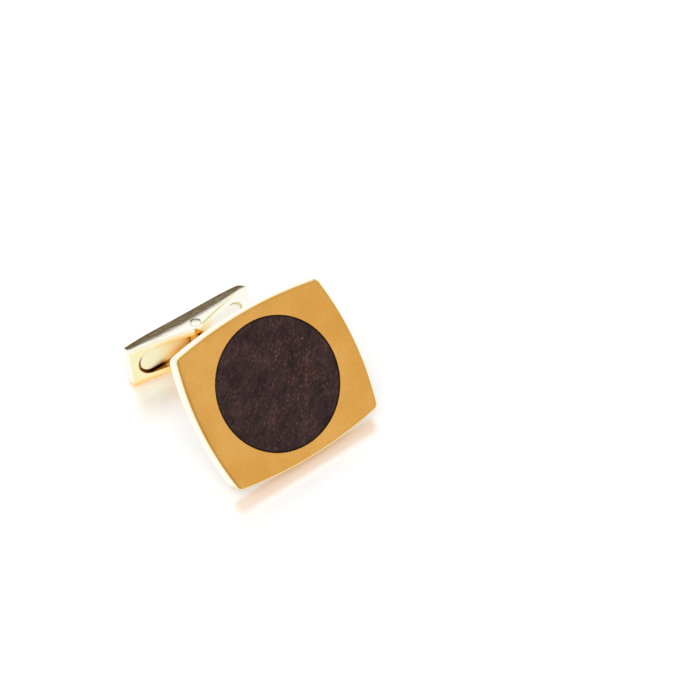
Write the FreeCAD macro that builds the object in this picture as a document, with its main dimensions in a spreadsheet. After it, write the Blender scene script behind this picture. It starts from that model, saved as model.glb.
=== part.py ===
"""Gold-plated cufflink with a bulged square face, a round dark-wood inlay and a swivel toggle.

The part stands as it lies on a table: the toggle on its flat side, the face on its lower edge.
+Z is up, the face looks towards -Y and leans back, +X runs along the toggle to the right.
The origin is the bottom centre of the whole part.
"""
import FreeCAD, Part
import math
import os
import Sketcher

doc = FreeCAD.newDocument("cufflink")

# Driving sizes, in millimetres, except the bend in degrees
SIZES = {
    # Face: width and height between the middles of opposite bulged sides
    "face_width": 21.0,
    "face_height": 18.1,
    "side_bulge": 0.94,
    "top_bulge": 0.92,
    "face_corner": 1.0,
    "face_bevel": 0.38,
    "plate_thickness": 1.7,
    # Inlay: a glued disc in a round recess
    "inlay_diameter": 14.65,
    "inlay_thickness": 0.8,
    "inlay_drop": 0.05,
    "inlay_chamfer": 0.1,
    "inlay_gap": 0.05,
    "glue_thickness": 0.06,
    "glue_margin": 0.4,
    # Back plate: closes the pressed face from behind
    "back_plate_thickness": 0.5,
    "rim_wall": 0.8,
    "back_plate_gap": 0.03,
    # Post: a bar bent once, square to the face at its foot and square to the toggle at its eye
    "post_thickness": 1.4,
    "post_width": 3.1,
    "post_edge": 0.5,
    "post_bend": 38.0,
    "post_root": 2.4,
    "bend_radius": 8.0,
    "post_reach": 8.5,
    "cam_corner": 0.45,
    "foot_diameter": 5.0,
    "foot_thickness": 0.5,
    "foot_rim": 0.15,
    "braze_fillet": 0.4,
    # Toggle: straight back, inner side rising to a crest over the pin
    "bar_length": 16.4,
    "bar_height": 5.46,
    "bar_back": 2.3,
    "bar_crest": 0.9,
    "crest_round": 1.6,
    "flank_sag": 0.22,
    "bar_round": 0.7,
    "bar_end_round": 0.5,
    "bar_edge": 0.12,
    "fold_gap": 0.25,
    "slot_height": 3.5,
    "slot_end_wall": 1.15,
    # Leaf spring lying in the slot, with a hollow behind it to flex into
    "spring_thickness": 0.25,
    "spring_gap": 0.08,
    "cam_gap": 0.04,
    "relief_length": 8.0,
    "relief_height": 2.6,
    "relief_depth": 0.4,
    # Pivot pin: a rivet with both heads flush
    "pin_diameter": 0.75,
    "pin_clearance": 0.03,
    "head_diameter": 1.15,
    "head_depth": 0.25,
    # How far a cut runs past the solid it cuts
    "overrun": 1.0,
}

sheet = doc.addObject("Spreadsheet::Sheet", "Sizes")
for row, (alias, size) in enumerate(SIZES.items(), start=1):
    sheet.set(f"A{row}", alias)
    sheet.set(f"B{row}", str(size))
    sheet.setAlias(f"B{row}", alias)
doc.recompute()


def cells(text):
    """Turn bare size names in an expression into references to the sheet."""
    words = []
    word = ""
    for letter in text + " ":
        if letter.isalnum() or letter == "_":
            word += letter
            continue
        words.append("Sizes." + word if word in SIZES else word)
        words.append(letter)
        word = ""
    return "".join(words).strip()


def number(text):
    """Value of an expression in the sheet's sizes."""
    found = sheet.evalExpression(cells(text))
    return float(getattr(found, "Value", found))


# Worked-out sizes, as expressions in the driving ones
TOP_RADIUS = "(((face_width / 2 - side_bulge) ^ 2 + top_bulge ^ 2) / (2 * top_bulge))"
SIDE_RADIUS = "(((face_height / 2 - top_bulge) ^ 2 + side_bulge ^ 2) / (2 * side_bulge))"
RECESS_DEPTH = "(inlay_drop + inlay_thickness + glue_thickness)"
CAM_REACH = "((post_thickness / 2 - cam_corner) * sqrt(2) + cam_corner)"
SPRING_FRONT = f"({CAM_REACH} + cam_gap)"
SPRING_SEAT = f"({SPRING_FRONT} + spring_thickness)"
BAR_END = "(post_thickness / 2 + fold_gap)"
SLOT_LENGTH = "(bar_length - 2 * slot_end_wall)"

# Lean of the face, and where its back and the pin then stand with both ends on the table
LEAN = "(post_bend * 1 deg)"
POST_DROP = f"(post_root * sin({LEAN}) + bend_radius * (1 - cos({LEAN})))"
POST_RUN = f"(post_root * cos({LEAN}) + bend_radius * sin({LEAN}) + post_reach)"
FOOT_RISE = f"((bar_height / 2 + {POST_DROP}) / cos({LEAN}) - face_height / 2)"
FACE_FRONT = (f"(max((face_height / 2 - face_bevel) * sin({LEAN}) + plate_thickness * cos({LEAN});"
              f" face_height / 2 * sin({LEAN}) + (plate_thickness - face_bevel) * cos({LEAN})))")
FACE_Y = f"(({FACE_FRONT} - {FOOT_RISE} * sin({LEAN}) - {POST_RUN} - bar_back) / 2)"
FACE_Z = f"(face_height / 2 * cos({LEAN}))"
PIN_Y = f"({FACE_Y} + {FOOT_RISE} * sin({LEAN}) + {POST_RUN})"
PIN_Z = "(bar_height / 2)"


def bind(thing, **expressions):
    """Bind properties to expressions; a double underscore stands for a dot."""
    for name, text in expressions.items():
        thing.setExpression(name.replace("__", "."), cells(text))


def new_body(label):
    body = doc.addObject("PartDesign::Body", label)
    body.Label = label
    return body


def place_on_face(body):
    """Local XY on the back of the face, local Z out of its front."""
    body.Placement = FreeCAD.Placement(FreeCAD.Vector(), FreeCAD.Rotation(FreeCAD.Vector(1, 0, 0), 0))
    bind(body, Placement__Base__y=FACE_Y, Placement__Base__z=FACE_Z,
         Placement__Rotation__Angle=f"90 deg - {LEAN}")


def place_on_pin(body):
    """Local axes along the part's own, origin on the pin's axis at half the toggle's height."""
    bind(body, Placement__Base__y=PIN_Y, Placement__Base__z=PIN_Z)


def new_sketch(body, name, plane, offset=None):
    """Sketch on one of the body's own planes, moved along the plane's normal by offset."""
    sketch = body.newObject("Sketcher::SketchObject", name)
    support = [item for item in body.Origin.OriginFeatures if item.Role == plane][0]
    sketch.AttachmentSupport = (support, [""])
    sketch.MapMode = "FlatFace"
    if offset:
        bind(sketch, AttachmentOffset__Base__z=offset)
    return sketch


def dimension(sketch, kind, *refs, size):
    """Add a dimension that follows an expression."""
    value = math.radians(number(size)) if kind == "Angle" else number(size)
    index = sketch.addConstraint(Sketcher.Constraint(kind, *refs, value))
    sketch.setExpression(f"Constraints[{index}]", cells(size))


def point(x, y):
    return FreeCAD.Vector(x, y, 0)


def arc(centre, radius, start, end):
    """Arc from start to end, counter-clockwise round centre."""
    angles = [(spot - centre).getAngle(point(1, 0)) for spot in (start, end)]
    angles = [angle if spot.y >= centre.y else -angle for angle, spot in zip(angles, (start, end))]
    circle = Part.Circle(centre, FreeCAD.Vector(0, 0, 1), radius)
    return Part.ArcOfCircle(circle, angles[0], angles[1])


def draw_circle(sketch, radius):
    ring = sketch.addGeometry(Part.Circle(point(0, 0), FreeCAD.Vector(0, 0, 1), number(radius)))
    sketch.addConstraint(Sketcher.Constraint("Coincident", ring, 3, -1, 1))
    dimension(sketch, "Radius", ring, size=radius)


def draw_face_outline(sketch, inset):
    """Four bulged sides, drawn in from the edge of the face by inset."""
    corner_x = number(f"face_width / 2 - side_bulge - {inset}")
    corner_y = number(f"face_height / 2 - top_bulge - {inset}")
    corners = [point(corner_x, corner_y), point(-corner_x, corner_y),
               point(-corner_x, -corner_y), point(corner_x, -corner_y)]
    top_back = f"{TOP_RADIUS} - face_height / 2"
    side_back = f"{SIDE_RADIUS} - face_width / 2"
    top_far, side_far = number(top_back), number(side_back)
    centres = [point(0, -top_far), point(side_far, 0), point(0, top_far), point(-side_far, 0)]
    radii = [f"{TOP_RADIUS} - {inset}", f"{SIDE_RADIUS} - {inset}"] * 2
    for index, (centre, radius) in enumerate(zip(centres, radii)):
        side = arc(centre, number(radius), corners[index], corners[(index + 1) % 4])
        sketch.addGeometry(side)
    for index in range(4):
        sketch.addConstraint(Sketcher.Constraint("Coincident", index, 2, (index + 1) % 4, 1))
        sketch.addConstraint(Sketcher.Constraint("PointOnObject", index, 3, -2 + index % 2))
    dimension(sketch, "DistanceY", 0, 3, -1, 1, size=top_back)
    dimension(sketch, "DistanceX", -1, 1, 1, 3, size=side_back)
    dimension(sketch, "DistanceY", -1, 1, 2, 3, size=top_back)
    dimension(sketch, "DistanceX", 3, 3, -1, 1, size=side_back)
    for index, radius in enumerate(radii):
        dimension(sketch, "Radius", index, size=radius)


def draw_stadium(sketch, length, height):
    """Slot shape lying along the sketch's X, with full round ends."""
    reach = number(f"({length} - {height}) / 2")
    half = number(f"{height} / 2")
    right, left = point(reach, 0), point(-reach, 0)
    up = point(0, half)
    sketch.addGeometry([
        arc(right, half, right - up, right + up),
        Part.LineSegment(right + up, left + up),
        arc(left, half, left + up, left - up),
        Part.LineSegment(left - up, right - up),
    ])
    for index in range(4):
        sketch.addConstraint(Sketcher.Constraint("Tangent", index, 2, (index + 1) % 4, 1))
    for index in (0, 2):
        sketch.addConstraint(Sketcher.Constraint("PointOnObject", index, 3, -1))
    dimension(sketch, "Radius", 0, size=f"{height} / 2")
    dimension(sketch, "DistanceX", -1, 1, 0, 3, size=f"({length} - {height}) / 2")
    dimension(sketch, "DistanceX", 2, 3, -1, 1, size=f"({length} - {height}) / 2")


def draw_rounded_bar(sketch, width, height, corner):
    """Rectangle about the sketch's origin with rounded corners."""
    half_x, half_y, bend = number(f"{width} / 2"), number(f"{height} / 2"), number(corner)
    ways = [(1, 1), (-1, 1), (-1, -1), (1, -1)]
    for index, (way_x, way_y) in enumerate(ways):
        centre = point(way_x * (half_x - bend), way_y * (half_y - bend))
        sides = [centre + point(way_x * bend, 0), centre + point(0, way_y * bend)]
        start, end = sides if index % 2 == 0 else sides[::-1]
        sketch.addGeometry(arc(centre, bend, start, end))
    for index in range(4):
        sketch.addGeometry(Part.LineSegment(sketch.Geometry[index].EndPoint,
                                            sketch.Geometry[(index + 1) % 4].StartPoint))
    for index in range(4):
        sketch.addConstraint(Sketcher.Constraint("Tangent", index, 2, 4 + index, 1))
        sketch.addConstraint(Sketcher.Constraint("Tangent", 4 + index, 2, (index + 1) % 4, 1))
        kind = "Vertical" if index % 2 else "Horizontal"
        sketch.addConstraint(Sketcher.Constraint(kind, 4 + index))
        dimension(sketch, "Radius", index, size=corner)
    dimension(sketch, "DistanceY", -1, 1, 4, 1, size=f"{height} / 2")
    dimension(sketch, "DistanceY", 6, 1, -1, 1, size=f"{height} / 2")
    dimension(sketch, "DistanceX", 5, 1, -1, 1, size=f"{width} / 2")
    dimension(sketch, "DistanceX", -1, 1, 7, 1, size=f"{width} / 2")


def draw_bar_plan(sketch):
    """Plan of the toggle: straight back, square ends, two hollow flanks that meet in a crest."""
    end_x, back, end_y = number("bar_length / 2"), number("bar_back"), number(BAR_END)
    crest = point(0, -number("bar_crest"))
    chord = f"sqrt((bar_length / 2) ^ 2 + ({BAR_END} + bar_crest) ^ 2)"
    flank = f"((({chord}) / 2) ^ 2 + flank_sag ^ 2) / (2 * flank_sag)"
    radius = number(flank)
    tips = [point(-end_x, end_y), point(end_x, end_y)]
    sketch.addGeometry([
        Part.LineSegment(point(end_x, back), point(-end_x, back)),
        Part.LineSegment(point(-end_x, back), tips[0]),
        Part.LineSegment(tips[1], point(end_x, back)),
    ])
    for way, tip in zip((-1, 1), tips):
        middle = (tip + crest) / 2
        along = (tip - crest).normalize()
        outward = point(along.y * way, -along.x * way)
        centre = middle + outward * (radius - number("flank_sag"))
        ends = (crest, tip) if way < 0 else (tip, crest)
        sketch.addGeometry(arc(centre, radius, *ends))
    joins = [(0, 2, 1, 1), (2, 2, 0, 1), (1, 2, 3, 2), (3, 1, 4, 2), (4, 1, 2, 1)]
    for join in joins:
        sketch.addConstraint(Sketcher.Constraint("Coincident", *join))
    sketch.addConstraint([
        Sketcher.Constraint("Horizontal", 0),
        Sketcher.Constraint("Vertical", 1),
        Sketcher.Constraint("Vertical", 2),
        Sketcher.Constraint("PointOnObject", 3, 1, -2),
    ])
    dimension(sketch, "DistanceY", -1, 1, 0, 1, size="bar_back")
    dimension(sketch, "DistanceX", 0, 2, -1, 1, size="bar_length / 2")
    dimension(sketch, "DistanceX", -1, 1, 0, 1, size="bar_length / 2")
    dimension(sketch, "DistanceY", -1, 1, 1, 2, size=BAR_END)
    dimension(sketch, "DistanceY", -1, 1, 2, 1, size=BAR_END)
    dimension(sketch, "DistanceY", 3, 1, -1, 1, size="bar_crest")
    dimension(sketch, "Radius", 3, size=flank)
    dimension(sketch, "Radius", 4, size=flank)


def draw_rivet(sketch):
    """Half profile of the pin, from its axis: a shank with a wider flush head at each end."""
    shank, head = number("pin_diameter / 2"), number("head_diameter / 2")
    end, neck = number("bar_height / 2"), number("bar_height / 2 - head_depth")
    spots = [point(0, -end), point(head, -end), point(head, -neck), point(shank, -neck),
             point(shank, neck), point(head, neck), point(head, end), point(0, end)]
    count = len(spots)
    for index, spot in enumerate(spots):
        sketch.addGeometry(Part.LineSegment(spot, spots[(index + 1) % count]))
    for index in range(count):
        sketch.addConstraint(Sketcher.Constraint("Coincident", index, 2, (index + 1) % count, 1))
        kind = "Vertical" if index % 2 else "Horizontal"
        sketch.addConstraint(Sketcher.Constraint(kind, index))
    sketch.addConstraint(Sketcher.Constraint("PointOnObject", 0, 1, -2))
    dimension(sketch, "DistanceX", 0, 1, 0, 2, size="head_diameter / 2")
    dimension(sketch, "DistanceX", 6, 2, 6, 1, size="head_diameter / 2")
    dimension(sketch, "DistanceX", -1, 1, 3, 1, size="pin_diameter / 2")
    dimension(sketch, "DistanceY", 1, 1, 1, 2, size="head_depth")
    dimension(sketch, "DistanceY", 5, 1, 5, 2, size="head_depth")
    dimension(sketch, "DistanceY", 0, 1, -1, 1, size="bar_height / 2")
    dimension(sketch, "DistanceY", -1, 1, 6, 2, size="bar_height / 2")


def pad(body, sketch, length, centred=False):
    """Raise a sketch along its normal, or to both sides of its plane."""
    feature = body.newObject("PartDesign::Pad", sketch.Name + "_pad")
    feature.Profile = sketch
    feature.SideType = "Symmetric" if centred else "One side"
    bind(feature, Length=length)
    doc.recompute()
    return feature


def cut(body, sketch, depth, along_normal=False, centred=False):
    """Sink a sketch into the solid, and make sure that it removed something."""
    before = body.Shape.Volume
    feature = body.newObject("PartDesign::Pocket", sketch.Name + "_cut")
    feature.Profile = sketch
    feature.Reversed = along_normal
    feature.SideType = "Symmetric" if centred else "One side"
    bind(feature, Length=depth)
    doc.recompute()
    if body.Shape.Volume >= before:
        raise RuntimeError(f"{feature.Name} removed nothing")
    return feature


def dress(body, kind, size, chosen):
    """Fillet or chamfer the edges of the body that chosen picks."""
    base = body.Tip
    names = [f"Edge{index}" for index, edge in enumerate(base.Shape.Edges, start=1) if chosen(edge)]
    feature = body.newObject("PartDesign::" + kind, f"{body.Name}_{kind.lower()}_{len(body.Group)}")
    feature.Base = (base, names)
    bind(feature, **{"Radius" if kind == "Fillet" else "Size": size})
    doc.recompute()
    return feature


def spots_of(edge):
    return [vertex.Point for vertex in edge.Vertexes]


def runs_along(edge, axis):
    """True for a straight edge along the axis numbered 0, 1 or 2."""
    ends = spots_of(edge)
    if edge.Curve.TypeId != "Part::GeomLine" or len(ends) < 2:
        return False
    way = ends[1] - ends[0]
    return abs(abs(way[axis]) - way.Length) < 1e-6


def lies_at(edge, axis, place):
    return all(abs(spot[axis] - place) < 1e-6 for spot in spots_of(edge))


# Face plate: pressed brass, gold plated, satin in front, with a polished bevel round the edge
face_plate = new_body("face_plate")
sketch = new_sketch(face_plate, "face_outline", "XY_Plane")
draw_face_outline(sketch, "0")
pad(face_plate, sketch, "plate_thickness")
dress(face_plate, "Fillet", "face_corner", lambda edge: runs_along(edge, 2))
front = number("plate_thickness")
dress(face_plate, "Chamfer", "face_bevel", lambda edge: lies_at(edge, 2, front))
sketch = new_sketch(face_plate, "inlay_recess", "XY_Plane", "plate_thickness")
draw_circle(sketch, "inlay_diameter / 2 + inlay_gap")
cut(face_plate, sketch, RECESS_DEPTH)
sketch = new_sketch(face_plate, "back_recess", "XY_Plane")
draw_face_outline(sketch, "rim_wall")
cut(face_plate, sketch, "back_plate_thickness", along_normal=True)
place_on_face(face_plate)

# Back plate: sheet brass soldered into the back of the face, flush with its rim
back_plate = new_body("back_plate")
sketch = new_sketch(back_plate, "back_outline", "XY_Plane")
draw_face_outline(sketch, "(rim_wall + back_plate_gap)")
pad(back_plate, sketch, "back_plate_thickness")
place_on_face(back_plate)

# Wood inlay: a turned disc of dark wood, its top a hair below the metal
wood_inlay = new_body("wood_inlay")
sketch = new_sketch(wood_inlay, "inlay_disc", "XY_Plane",
                    "plate_thickness - inlay_drop - inlay_thickness")
draw_circle(sketch, "inlay_diameter / 2")
pad(wood_inlay, sketch, "inlay_thickness")
inlay_top = number("plate_thickness - inlay_drop")
dress(wood_inlay, "Chamfer", "inlay_chamfer", lambda edge: lies_at(edge, 2, inlay_top))
place_on_face(wood_inlay)

# Adhesive: the film that holds the disc on the floor of its recess
inlay_adhesive = new_body("inlay_adhesive")
sketch = new_sketch(inlay_adhesive, "glue_disc", "XY_Plane", f"plate_thickness - {RECESS_DEPTH}")
draw_circle(sketch, "inlay_diameter / 2 - glue_margin")
pad(inlay_adhesive, sketch, "glue_thickness")
place_on_face(inlay_adhesive)

# Post: a flat bar bent once, with a round foot on the back plate and a squared eye on the pin
bent_post = new_body("bent_post")
spine = new_sketch(bent_post, "post_spine", "YZ_Plane")
turn = FreeCAD.Rotation(FreeCAD.Vector(0, 0, -1), number("post_bend"))
eye_end = point(number("post_thickness / 2"), 0)
bend_start = point(-number("post_reach"), 0)
bend_centre = bend_start + point(0, number("bend_radius"))
bend_end = bend_centre + turn.multVec(bend_start - bend_centre)
foot_spot = bend_end + turn.multVec(point(-number("post_root"), 0))
spine.addGeometry([
    Part.LineSegment(eye_end, bend_start),
    arc(bend_centre, number("bend_radius"), bend_end, bend_start),
    Part.LineSegment(bend_end, foot_spot),
])
spine.addConstraint([
    Sketcher.Constraint("PointOnObject", 0, 1, -1),
    Sketcher.Constraint("Horizontal", 0),
    Sketcher.Constraint("Tangent", 0, 2, 1, 2),
    Sketcher.Constraint("Tangent", 1, 1, 2, 1),
])
dimension(spine, "DistanceX", -1, 1, 0, 1, size="post_thickness / 2")
dimension(spine, "DistanceX", 0, 2, -1, 1, size="post_reach")
dimension(spine, "Radius", 1, size="bend_radius")
dimension(spine, "Distance", 2, size="post_root")
dimension(spine, "Angle", 1, size=LEAN)
section = new_sketch(bent_post, "post_section", "XZ_Plane", "-post_thickness / 2")
draw_rounded_bar(section, "post_thickness", "post_width", "post_edge")
pipe = bent_post.newObject("PartDesign::AdditivePipe", "post_pipe")
pipe.Profile = section
pipe.Spine = (spine, ["Edge1", "Edge2", "Edge3"])
doc.recompute()
eye_flat = number("post_thickness / 2")
dress(bent_post, "Fillet", "cam_corner", lambda edge: lies_at(edge, 1, eye_flat))
foot = bent_post.newObject("PartDesign::AdditiveCylinder", "post_foot")
foot.Placement = FreeCAD.Placement(FreeCAD.Vector(), FreeCAD.Rotation(FreeCAD.Vector(1, 0, 0), 0))
bind(foot, Radius="foot_diameter / 2", Height="foot_thickness",
     Placement__Base__y=f"-{POST_RUN} + foot_thickness * cos({LEAN})",
     Placement__Base__z=f"{POST_DROP} - foot_thickness * sin({LEAN})",
     Placement__Rotation__Angle=f"90 deg - {LEAN}")
doc.recompute()
foot_top = foot.Placement.Base
foot_way = foot.Placement.Rotation.multVec(FreeCAD.Vector(0, 0, 1))
foot_radius = number("foot_diameter / 2")


def on_foot_top(edge):
    return all(abs((spot - foot_top).dot(foot_way)) < 1e-5 for spot in spots_of(edge))


def is_foot_rim(edge):
    return edge.Curve.TypeId == "Part::GeomCircle" and abs(edge.Curve.Radius - foot_radius) < 1e-5


dress(bent_post, "Fillet", "braze_fillet", lambda edge: on_foot_top(edge) and not is_foot_rim(edge))
dress(bent_post, "Fillet", "foot_rim", lambda edge: on_foot_top(edge) and is_foot_rim(edge))
sketch = new_sketch(bent_post, "eye_bore", "XY_Plane")
draw_circle(sketch, "pin_diameter / 2 + pin_clearance")
cut(bent_post, sketch, "post_width + 2 * overrun", centred=True)
place_on_pin(bent_post)

# Toggle bar: a polished boat-shaped bar, slotted from its inner side and drilled for the pin
toggle_bar = new_body("toggle_bar")
sketch = new_sketch(toggle_bar, "bar_plan", "XY_Plane")
draw_bar_plan(sketch)
pad(toggle_bar, sketch, "bar_height", centred=True)
back = number("bar_back")
crest = -number("bar_crest")
dress(toggle_bar, "Fillet", "crest_round",
      lambda edge: runs_along(edge, 2) and lies_at(edge, 1, crest))
dress(toggle_bar, "Fillet", "bar_end_round",
      lambda edge: runs_along(edge, 2) and lies_at(edge, 1, back))
dress(toggle_bar, "Fillet", "bar_round",
      lambda edge: runs_along(edge, 0) and lies_at(edge, 1, back))
side_z, round_start = number("bar_height / 2"), number("bar_back - bar_round")
dress(toggle_bar, "Fillet", "bar_edge",
      lambda edge: (lies_at(edge, 2, side_z) or lies_at(edge, 2, -side_z))
      and all(spot.y < round_start - number("bar_edge") for spot in spots_of(edge)))
sketch = new_sketch(toggle_bar, "bar_slot", "XZ_Plane", f"-{SPRING_SEAT}")
draw_stadium(sketch, SLOT_LENGTH, "slot_height")
cut(toggle_bar, sketch, f"{SPRING_SEAT} + bar_crest + overrun", along_normal=True)
sketch = new_sketch(toggle_bar, "spring_relief", "XZ_Plane", f"-{SPRING_SEAT}")
draw_stadium(sketch, "relief_length", "relief_height")
cut(toggle_bar, sketch, "relief_depth")
sketch = new_sketch(toggle_bar, "rivet_hole", "XZ_Plane")
draw_rivet(sketch)
hole = toggle_bar.newObject("PartDesign::Groove", "rivet_hole_cut")
hole.Profile = sketch
hole.ReferenceAxis = (sketch, ["V_Axis"])
hole.Angle = 360
doc.recompute()
place_on_pin(toggle_bar)

# Leaf spring: a round-ended strip of spring steel that holds the eye's flats open or folded
leaf_spring = new_body("leaf_spring")
sketch = new_sketch(leaf_spring, "spring_strip", "XZ_Plane", f"-{SPRING_SEAT}")
draw_stadium(sketch, f"({SLOT_LENGTH} - 2 * spring_gap)", "(slot_height - 2 * spring_gap)")
pad(leaf_spring, sketch, "spring_thickness")
place_on_pin(leaf_spring)

# Pivot pin: a rivet through the toggle and the eye, its two heads closed flush in the toggle
pivot_pin = new_body("pivot_pin")
sketch = new_sketch(pivot_pin, "rivet_profile", "XZ_Plane")
draw_rivet(sketch)
turning = pivot_pin.newObject("PartDesign::Revolution", "rivet_turning")
turning.Profile = sketch
turning.ReferenceAxis = (sketch, ["V_Axis"])
turning.Angle = 360
doc.recompute()
place_on_pin(pivot_pin)

doc.recompute()
faults = [item.Name for item in doc.Objects if {"Invalid", "Error"} & set(item.State)]
if faults:
    raise RuntimeError(f"failed to build: {faults}")
pieces = [item for item in doc.Objects if item.TypeId == "PartDesign::Body"]
for piece in pieces:
    if piece.Shape.isNull() or not piece.Shape.isValid() or len(piece.Shape.Solids) != 1:
        raise RuntimeError(f"{piece.Label} is not one sound solid")

os.makedirs("parts", exist_ok=True)
for piece in pieces:
    piece.Shape.exportStep(f"parts/{piece.Label}.step")
    print(f"{piece.Label}: {piece.Shape.Volume:.2f} mm3")
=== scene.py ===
import math
import bmesh
import bpy
from mathutils import Matrix, Vector
from mathutils.geometry import intersect_sphere_sphere_2d


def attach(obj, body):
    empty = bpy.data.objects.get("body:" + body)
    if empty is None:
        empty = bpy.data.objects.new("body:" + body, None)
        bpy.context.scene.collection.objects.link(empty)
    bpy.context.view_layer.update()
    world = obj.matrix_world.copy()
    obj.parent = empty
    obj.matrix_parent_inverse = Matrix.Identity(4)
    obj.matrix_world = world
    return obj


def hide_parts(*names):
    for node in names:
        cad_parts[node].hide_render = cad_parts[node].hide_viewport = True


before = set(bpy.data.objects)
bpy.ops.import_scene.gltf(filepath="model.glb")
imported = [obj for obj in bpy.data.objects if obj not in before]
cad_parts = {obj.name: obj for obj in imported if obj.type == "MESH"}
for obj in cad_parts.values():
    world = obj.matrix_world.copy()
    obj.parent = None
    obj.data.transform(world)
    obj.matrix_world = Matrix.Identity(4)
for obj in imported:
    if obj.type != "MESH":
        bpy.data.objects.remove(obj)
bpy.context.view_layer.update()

# Face plate: the bulged square front, pressed from brass and gold plated, leaning back on its lower edge.
# Its front is blasted to an even satin. Its narrow bevel and its sides are buffed to a mirror,
# and a round recess in the front takes the wood.
MM = 0.001
CLOSE, TINY = 1e-3, 1e-5
SHARP_TURN = 35.0
FACE_LEAN = 38.0
FACE_SPOT = Vector((0.0, -4.98985, 7.1315))
FACE_WIDTH, FACE_HEIGHT = 20.6, 17.6
SIDE_BULGE, TOP_BULGE = 0.94, 0.92
FACE_CORNER = 0.72
EDGE_BEVEL = 0.15
BACK_EDGE_ROUND = 0.15
PLATE_THICKNESS = 1.7
INLAY_RADIUS = 7.325
INLAY_GAP = 0.05
RECESS_DEPTH = 0.91
RECESS_LIP = 0.03
BORDER = 0.4
BORDER_LEFT, BORDER_TOP = -9.15, 7.7
EDGE_SHADE_LEFT, EDGE_SHADE_TOP, EDGE_SHADE_REST = 1.0, 0.3, 0.15
RIM_WALL = 0.65
BACK_DEPTH = 0.5
SIDE_STEPS, CORNER_STEPS = 24, 8
GRIT, SATIN_CLOUD = 0.14, 4.0
BUFF_WAVE, FINE_WEAR = 1.2, 0.25
on_face = Matrix.Translation(FACE_SPOT) @ Matrix.Rotation(math.radians(90 - FACE_LEAN), 4, "X")


def corners(lines):
    """The vertices of some edges, each once."""
    return list({spot for line in lines for spot in line.verts})


def trace(bm, start, runs):
    """Closed outline in the XY plane, made of runs.

    A run is (centre, degrees, steps) for a bend or (end, None, steps) for a line."""
    known = set(bm.edges)
    spot = bm.verts.new(start)
    for goal, turn, steps in runs:
        goal = Vector((goal[0], goal[1], spot.co.z))
        if turn is None:
            step = (goal - spot.co) / steps
            for _ in range(steps):
                spot = bmesh.ops.extrude_vert_indiv(bm, verts=[spot])["verts"][0]
                bmesh.ops.translate(bm, verts=[spot], vec=step)
        else:
            made = bmesh.ops.spin(bm, geom=[spot], cent=goal, axis=(0, 0, 1), angle=math.radians(turn),
                                  steps=steps)
            spot = [item for item in made["geom_last"] if isinstance(item, bmesh.types.BMVert)][0]
    new = [line for line in bm.edges if line not in known]
    bmesh.ops.remove_doubles(bm, verts=corners(new), dist=CLOSE)
    return [line for line in bm.edges if line not in known]


def face_outline(bm, inset, level, circle=0.0):
    """The face's bulged sides and rounded corners, drawn in from its edge, or a circle in the same steps."""
    if circle:
        share = 90 * CORNER_STEPS / (SIDE_STEPS + CORNER_STEPS)
        start = Matrix.Rotation(math.radians(share / 2 - 45), 3, "Z") @ Vector((circle, 0, level))
        return trace(bm, start, [((0, 0), 90 - share, SIDE_STEPS), ((0, 0), share, CORNER_STEPS)] * 4)
    half_x, half_y = FACE_WIDTH / 2, FACE_HEIGHT / 2
    top = ((half_x - SIDE_BULGE) ** 2 + TOP_BULGE ** 2) / (2 * TOP_BULGE)
    side = ((half_y - TOP_BULGE) ** 2 + SIDE_BULGE ** 2) / (2 * SIDE_BULGE)
    top_centre, side_centre = Vector((0, half_y - top)), Vector((half_x - side, 0))
    spots = intersect_sphere_sphere_2d(top_centre, top - FACE_CORNER, side_centre, side - FACE_CORNER)
    corner = max(spots, key=lambda spot: spot.x)
    side_turn = math.atan2(corner.y, corner.x - side_centre.x)
    top_turn = math.atan2(corner.x, corner.y - top_centre.y)
    corner_turn = math.pi / 2 - side_turn - top_turn
    reach = side - inset
    start = (side_centre.x + reach * math.cos(side_turn), -reach * math.sin(side_turn), level)
    runs = []
    for centre, turn, right, up in ((side_centre, side_turn, 1, 1), (top_centre, top_turn, -1, 1),
                                    (-side_centre, side_turn, -1, -1), (-top_centre, top_turn, 1, -1)):
        runs.append((centre, math.degrees(2 * turn), SIDE_STEPS))
        runs.append(((corner.x * right, corner.y * up), math.degrees(corner_turn), CORNER_STEPS))
    return trace(bm, start, runs)


def raise_loop(bm, lines, rise):
    """Walls up from a closed outline. Gives the edges of its upper end."""
    made = bmesh.ops.extrude_edge_only(bm, edges=lines)["geom"]
    verts = [item for item in made if isinstance(item, bmesh.types.BMVert)]
    bmesh.ops.translate(bm, verts=verts, vec=(0, 0, rise))
    kept = set(verts)
    return [item for item in made if isinstance(item, bmesh.types.BMEdge) and set(item.verts) <= kept]


def bridge(bm, outer, inner, way=Vector((0, 0, 1))):
    """Flat ring between two outlines. The inner one is lifted meanwhile, so that the two are told apart."""
    bmesh.ops.translate(bm, verts=corners(inner), vec=way)
    bmesh.ops.bridge_loops(bm, edges=outer + inner)
    bmesh.ops.translate(bm, verts=corners(inner), vec=-way)


def round_off(bm, lines, size, segments):
    """Takes the edge off along some lines: one segment leaves a flat bevel, more a round."""
    bmesh.ops.bevel(bm, geom=lines, offset=size, offset_type="OFFSET", affect="EDGES",
                    segments=segments, profile=0.5, material=-1, clamp_overlap=True)


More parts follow.
